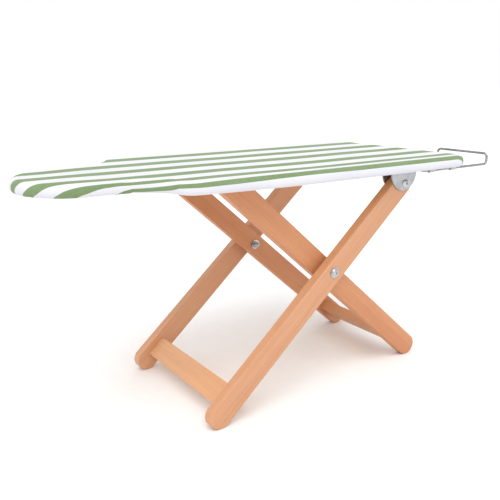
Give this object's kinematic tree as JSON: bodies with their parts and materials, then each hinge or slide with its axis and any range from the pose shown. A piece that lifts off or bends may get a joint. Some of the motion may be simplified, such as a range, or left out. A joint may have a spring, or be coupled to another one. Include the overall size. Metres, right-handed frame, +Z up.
{
  "type": "sleeve ironing board",
  "caption": "Table-top sleeve ironing board with a rounded nose, a padded striped cotton cover, a folding crossed beech stand and a wire iron rest at its square end.",
  "frame": {"origin": "on the floor under the middle of the whole object's length and width", "axes": "+X runs along the board from its nose to the iron rest, +Y across the board to the side away from the iron rest, +Z up from the floor"},
  "size_m": [0.732, 0.304, 0.347],
  "materials": {
    "beech": "sanded and thinly varnished",
    "plywood": "bare birch plywood",
    "striped_cotton": "plain weave, white with lengthwise green stripes",
    "felt": "needled felt",
    "elastic_braid": "braided elastic",
    "zinc_sheet": "zinc-plated, satin",
    "zinc_fastener": "bright zinc-plated",
    "bright_wire": "bright plated",
    "nylon": "satin moulded"
  },
  "bodies": {
    "board": {"board_core": "plywood", "board_pad": "felt", "board_cover": "striped_cotton", "hem_elastic": "elastic_braid", "hinge_bracket_near": "zinc_sheet", "hinge_bracket_far": "zinc_sheet", "hinge_bracket_screws": "zinc_fastener", "hinge_bolt_near": "zinc_fastener", "hinge_bolt_far": "zinc_fastener", "hinge_nut_near": "zinc_fastener", "hinge_nut_far": "zinc_fastener", "catch_plate_near": "zinc_sheet", "catch_plate_far": "zinc_sheet", "catch_plate_screws": "zinc_fastener", "iron_rest": "bright_wire", "rest_clip_near_back": "zinc_sheet", "rest_clip_near_front": "zinc_sheet", "rest_clip_far_back": "zinc_sheet", "rest_clip_far_front": "zinc_sheet", "rest_clip_screws": "zinc_fastener"},
    "frame_a": {"leg_a_near": "beech", "leg_a_far": "beech", "stretcher_a": "beech", "stretcher_a_dowels": "beech", "pivot_bolt_near": "zinc_fastener", "pivot_head_washer_near": "zinc_fastener", "pivot_spacer_near": "nylon", "pivot_nut_washer_near": "zinc_fastener", "pivot_nut_near": "zinc_fastener", "pivot_bolt_far": "zinc_fastener", "pivot_head_washer_far": "zinc_fastener", "pivot_spacer_far": "nylon", "pivot_nut_washer_far": "zinc_fastener", "pivot_nut_far": "zinc_fastener"},
    "frame_b": {"leg_b_near": "beech", "leg_b_far": "beech", "stretcher_b": "beech", "stretcher_b_dowels": "beech", "catch_rod": "zinc_fastener"}
  },
  "joints": [
    {"name": "fold", "type": "hinge", "parent": "board", "child": "frame_a", "pos_m": [0.18536, 0, 0.3087], "axis": [0, 1, 0], "range_deg": [0, 37]},
    {"name": "scissor", "type": "hinge", "parent": "frame_a", "child": "frame_b", "pos_m": [0.048, 0, 0.1893], "axis": [0, 1, 0], "range_deg": [-74, 0]}
  ],
  "couplings": [
    {"joint": "scissor", "follows": "fold", "ratio": -2}
  ]
}
